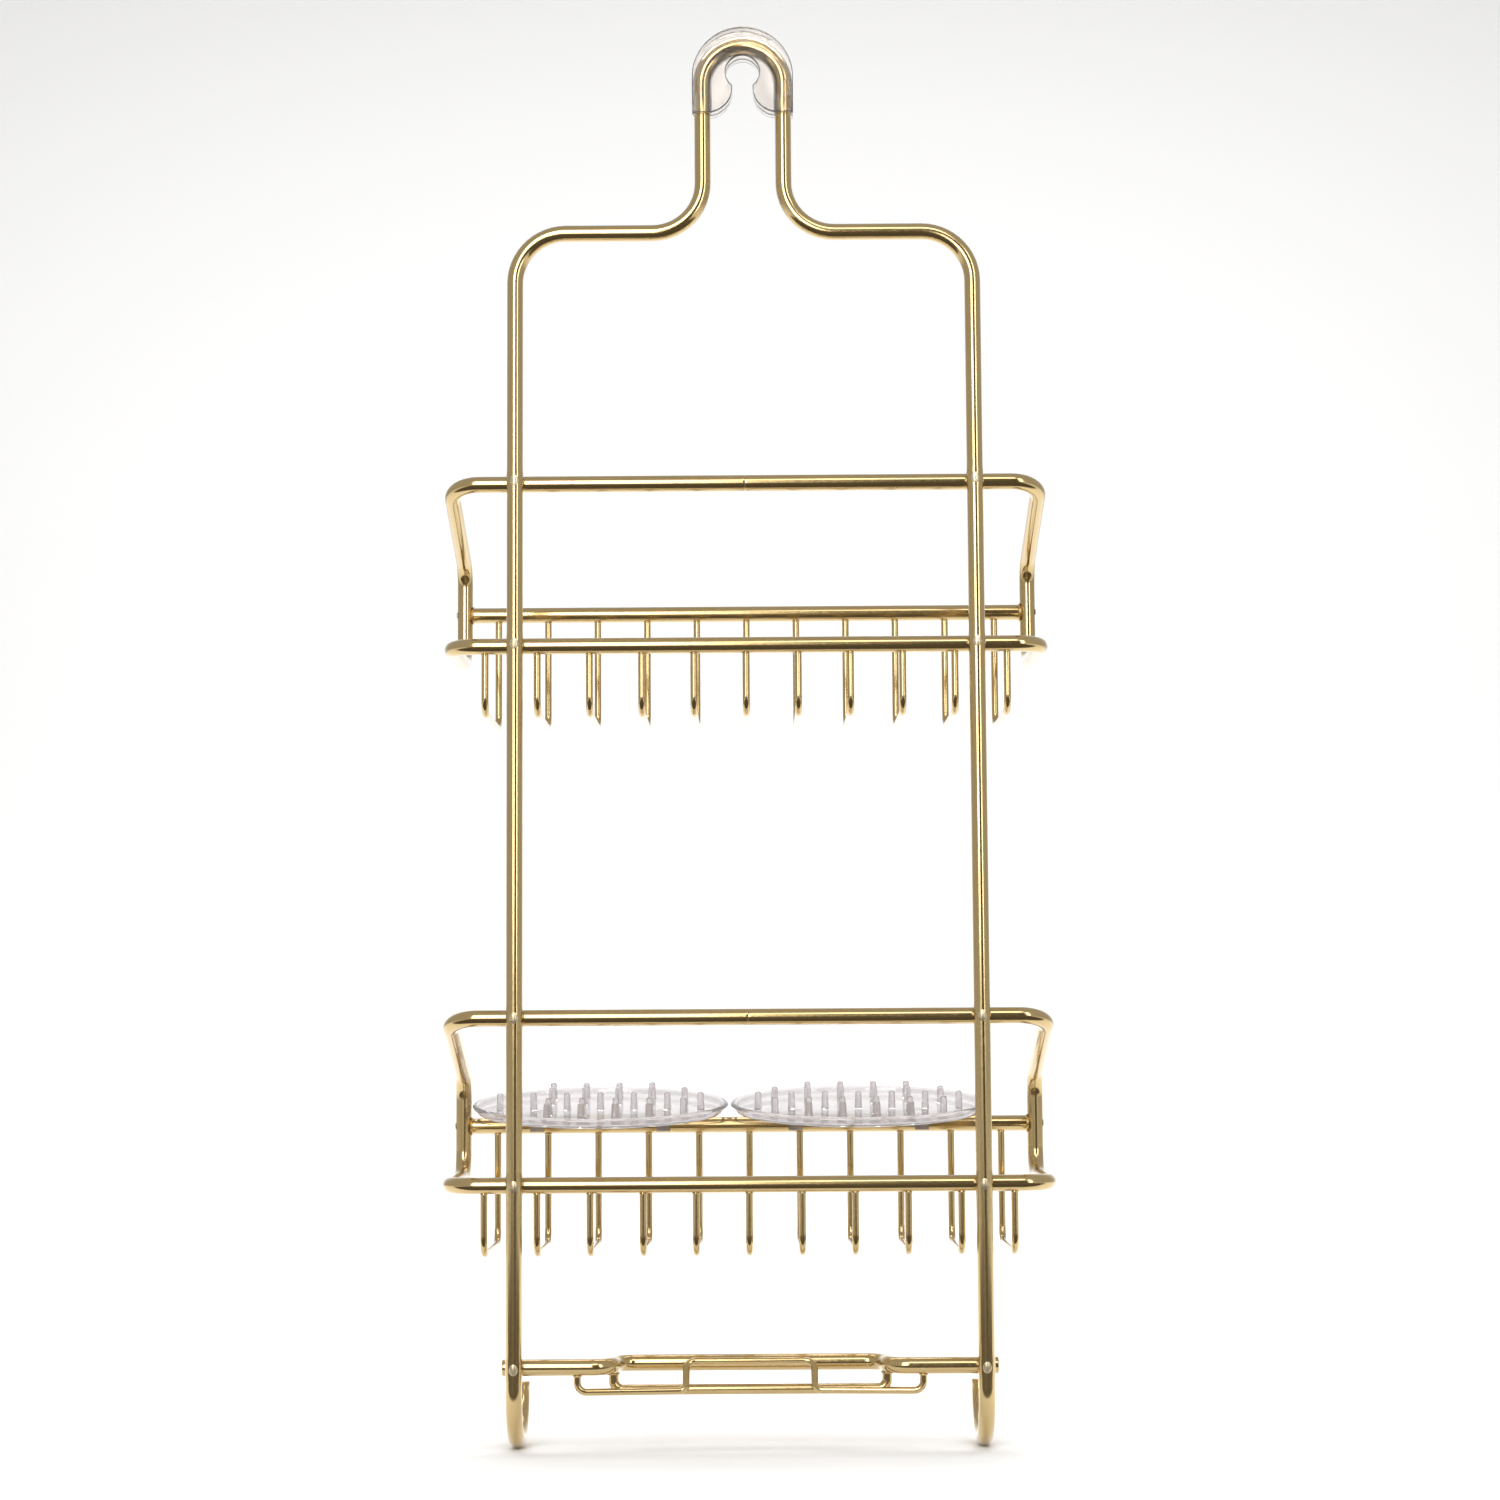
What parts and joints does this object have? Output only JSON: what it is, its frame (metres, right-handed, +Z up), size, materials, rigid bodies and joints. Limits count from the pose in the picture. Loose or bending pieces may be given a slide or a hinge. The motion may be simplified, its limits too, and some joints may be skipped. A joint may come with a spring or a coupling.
{
  "type": "shower caddy",
  "caption": "Hanging shower caddy of bent round rod with wire baskets, towel hooks, a towel and razor bar, a clear arm cover and clear tilting soap dishes.",
  "frame": {"origin": "middle of the seat in the clear cover that holds the shower arm", "axes": "+Z up, +X to the right seen from the wall, +Y from the wall into the room, along the shower arm"},
  "size_m": [0.3008, 0.1337, 0.6958],
  "materials": {
    "anodised_rod": "satin champagne-gold anodised",
    "anodised_tine": "satin champagne-gold anodised",
    "rivet": "satin champagne-gold anodised, ground flush",
    "clear_cover": "clear, glossy, moulded",
    "clear_dish": "clear, glossy, moulded"
  },
  "bodies": {
    "frame": {"hanger_frame": "anodised_rod", "upper_basket_loop": "anodised_rod", "upper_front_rail": "anodised_rod", "lower_basket_loop": "anodised_rod", "lower_front_rail": "anodised_rod", "towel_bar": "anodised_rod", "lower_rod": "anodised_rod", "razor_wire": "anodised_rod", "upper_tine_01": "anodised_tine", "upper_tine_02": "anodised_tine", "upper_tine_03": "anodised_tine", "upper_tine_04": "anodised_tine", "upper_tine_05": "anodised_tine", "upper_tine_06": "anodised_tine", "upper_tine_07": "anodised_tine", "upper_tine_08": "anodised_tine", "upper_tine_09": "anodised_tine", "upper_tine_10": "anodised_tine", "upper_tine_11": "anodised_tine", "lower_tine_01": "anodised_tine", "lower_tine_02": "anodised_tine", "lower_tine_03": "anodised_tine", "lower_tine_04": "anodised_tine", "lower_tine_05": "anodised_tine", "lower_tine_06": "anodised_tine", "lower_tine_07": "anodised_tine", "lower_tine_08": "anodised_tine", "lower_tine_09": "anodised_tine", "lower_tine_10": "anodised_tine", "lower_tine_11": "anodised_tine", "rivet_upper_top_left": "rivet", "rivet_upper_bottom_left": "rivet", "rivet_lower_top_left": "rivet", "rivet_lower_bottom_left": "rivet", "rivet_towel_bar_left": "rivet", "rivet_upper_front_left": "rivet", "rivet_lower_front_left": "rivet", "rivet_upper_top_right": "rivet", "rivet_upper_bottom_right": "rivet", "rivet_lower_top_right": "rivet", "rivet_lower_bottom_right": "rivet", "rivet_towel_bar_right": "rivet", "rivet_upper_front_right": "rivet", "rivet_lower_front_right": "rivet", "hook_cover_wall_half": "clear_cover", "hook_cover_room_half": "clear_cover"},
    "left_dish": {"left_soap_dish": "clear_dish"},
    "right_dish": {"right_soap_dish": "clear_dish"}
  },
  "joints": [
    {"name": "left_dish_tilt", "type": "hinge", "parent": "frame", "child": "left_dish", "pos_m": [-0.0757, 0.0871, -0.5201], "axis": [1, 0, 0], "range_deg": [-25, 20]},
    {"name": "right_dish_tilt", "type": "hinge", "parent": "frame", "child": "right_dish", "pos_m": [0.0555, 0.0871, -0.5201], "axis": [1, 0, 0], "range_deg": [-25, 20]}
  ]
}
